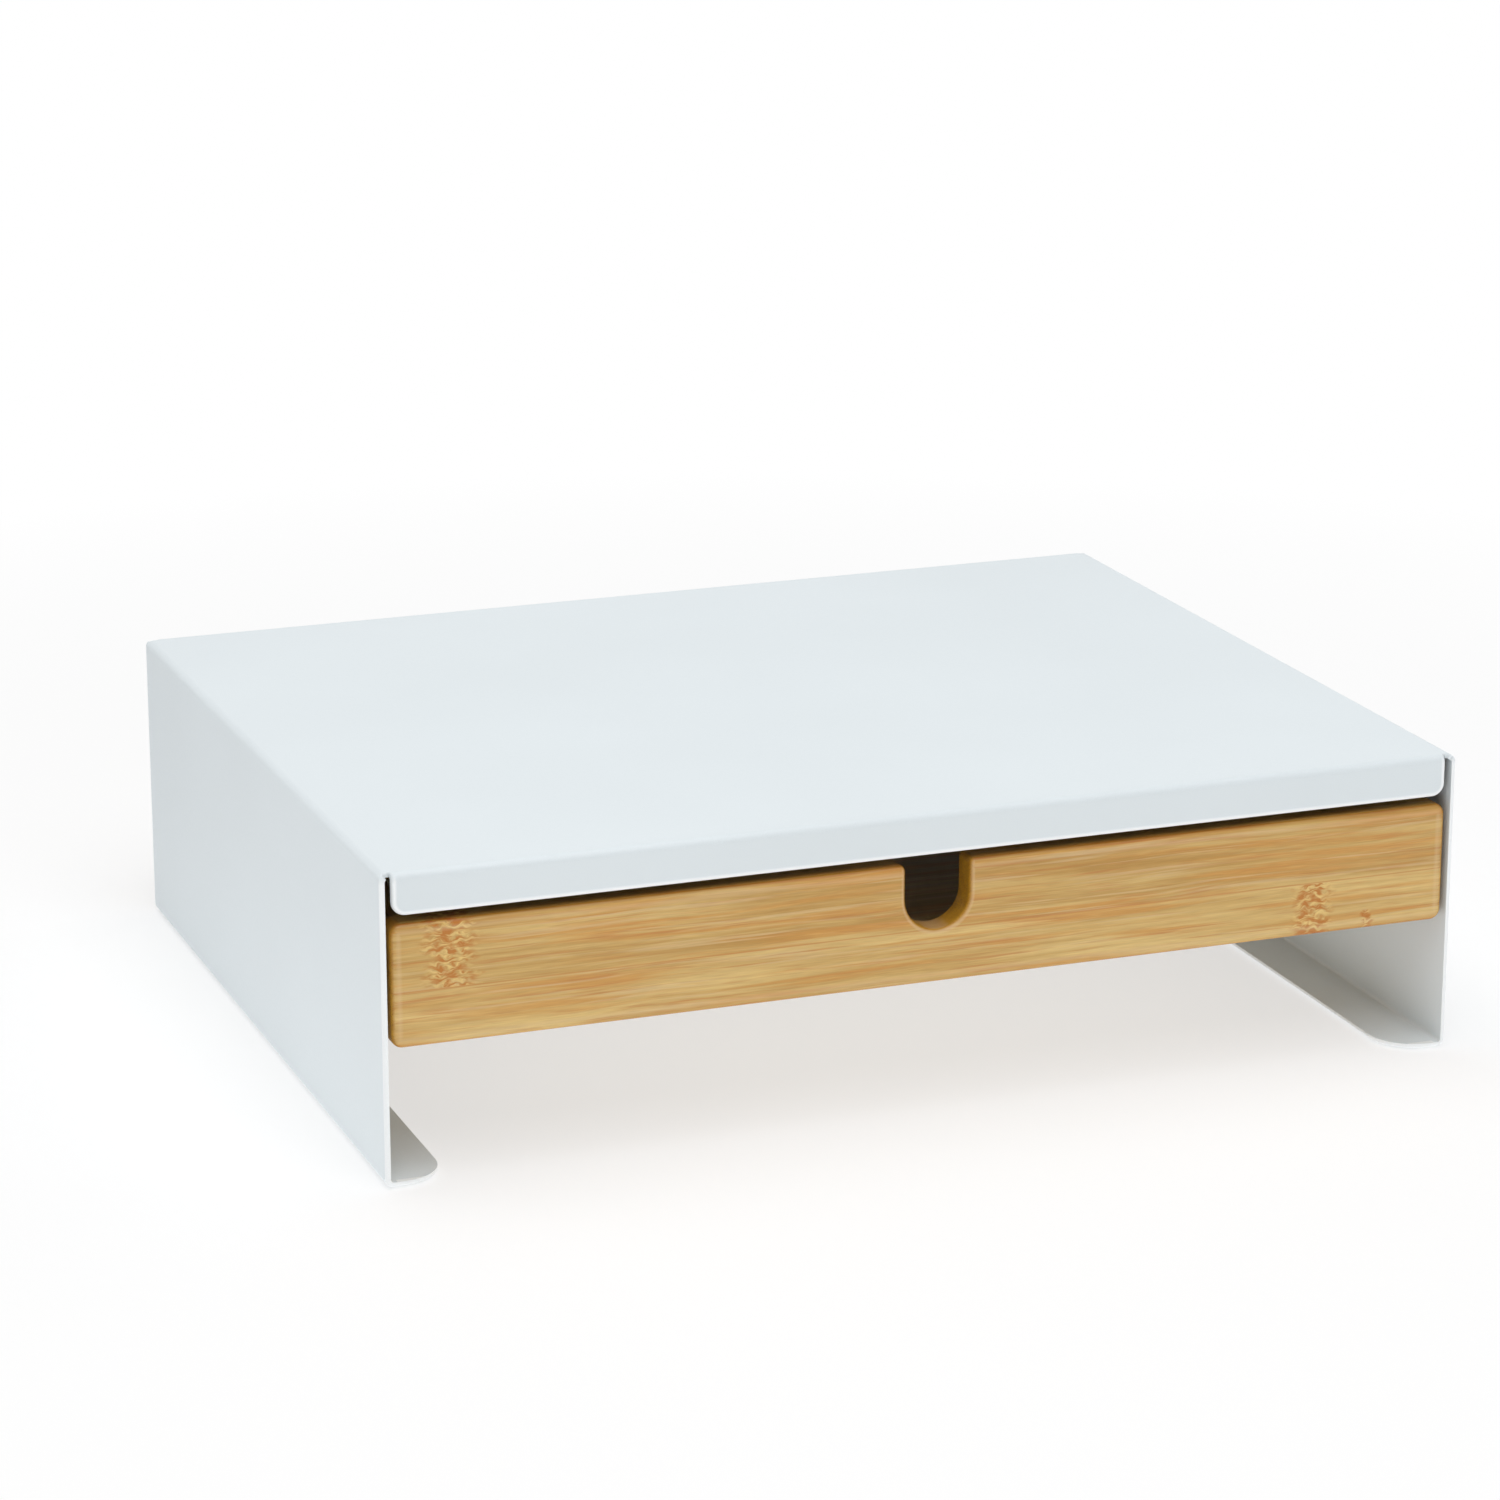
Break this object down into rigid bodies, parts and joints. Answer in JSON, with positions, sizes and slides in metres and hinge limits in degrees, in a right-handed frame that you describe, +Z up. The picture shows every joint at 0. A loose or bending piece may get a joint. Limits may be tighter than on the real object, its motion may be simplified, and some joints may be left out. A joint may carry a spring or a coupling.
{
  "type": "monitor stand with drawer",
  "caption": "Low monitor stand bent from one steel sheet, with foot flanges, a front lip and a bamboo drawer on steel runners that slides out by a finger notch.",
  "frame": {"origin": "middle of the footprint, on the desk under the pads", "axes": "+X across the width to the right of someone at the desk, +Y to the back, +Z up"},
  "size_m": [0.45, 0.36, 0.125],
  "materials": {
    "powder_coated_steel": "fine matt powder coat",
    "bamboo": "satin lacquer",
    "bamboo_inner": "satin lacquer",
    "bottom_panel": "satin lacquer",
    "dowel_wood": "bare wood",
    "screw_steel": "zinc plated",
    "silicone": "matt",
    "pad_rubber": "matt foam"
  },
  "bodies": {
    "stand": {"bumper_left": "silicone", "bumper_right": "silicone", "pad_front_left": "pad_rubber", "pad_front_right": "pad_rubber", "pad_rear_left": "pad_rubber", "pad_rear_right": "pad_rubber", "runner_left": "powder_coated_steel", "runner_right": "powder_coated_steel", "stand_shell": "powder_coated_steel"},
    "drawer": {"bottom_screws": "screw_steel", "dowels_front_left": "dowel_wood", "dowels_front_right": "dowel_wood", "dowels_rear_left": "dowel_wood", "dowels_rear_right": "dowel_wood", "drawer_back": "bamboo_inner", "drawer_bottom": "bottom_panel", "drawer_front": "bamboo", "drawer_side_left": "bamboo_inner", "drawer_side_right": "bamboo_inner", "stop_screw_left": "screw_steel", "stop_screw_right": "screw_steel"}
  },
  "joints": [
    {"name": "drawer_slide", "type": "slide", "parent": "stand", "child": "drawer", "axis": [0, -1, 0], "range_m": [0, 0.22]}
  ]
}
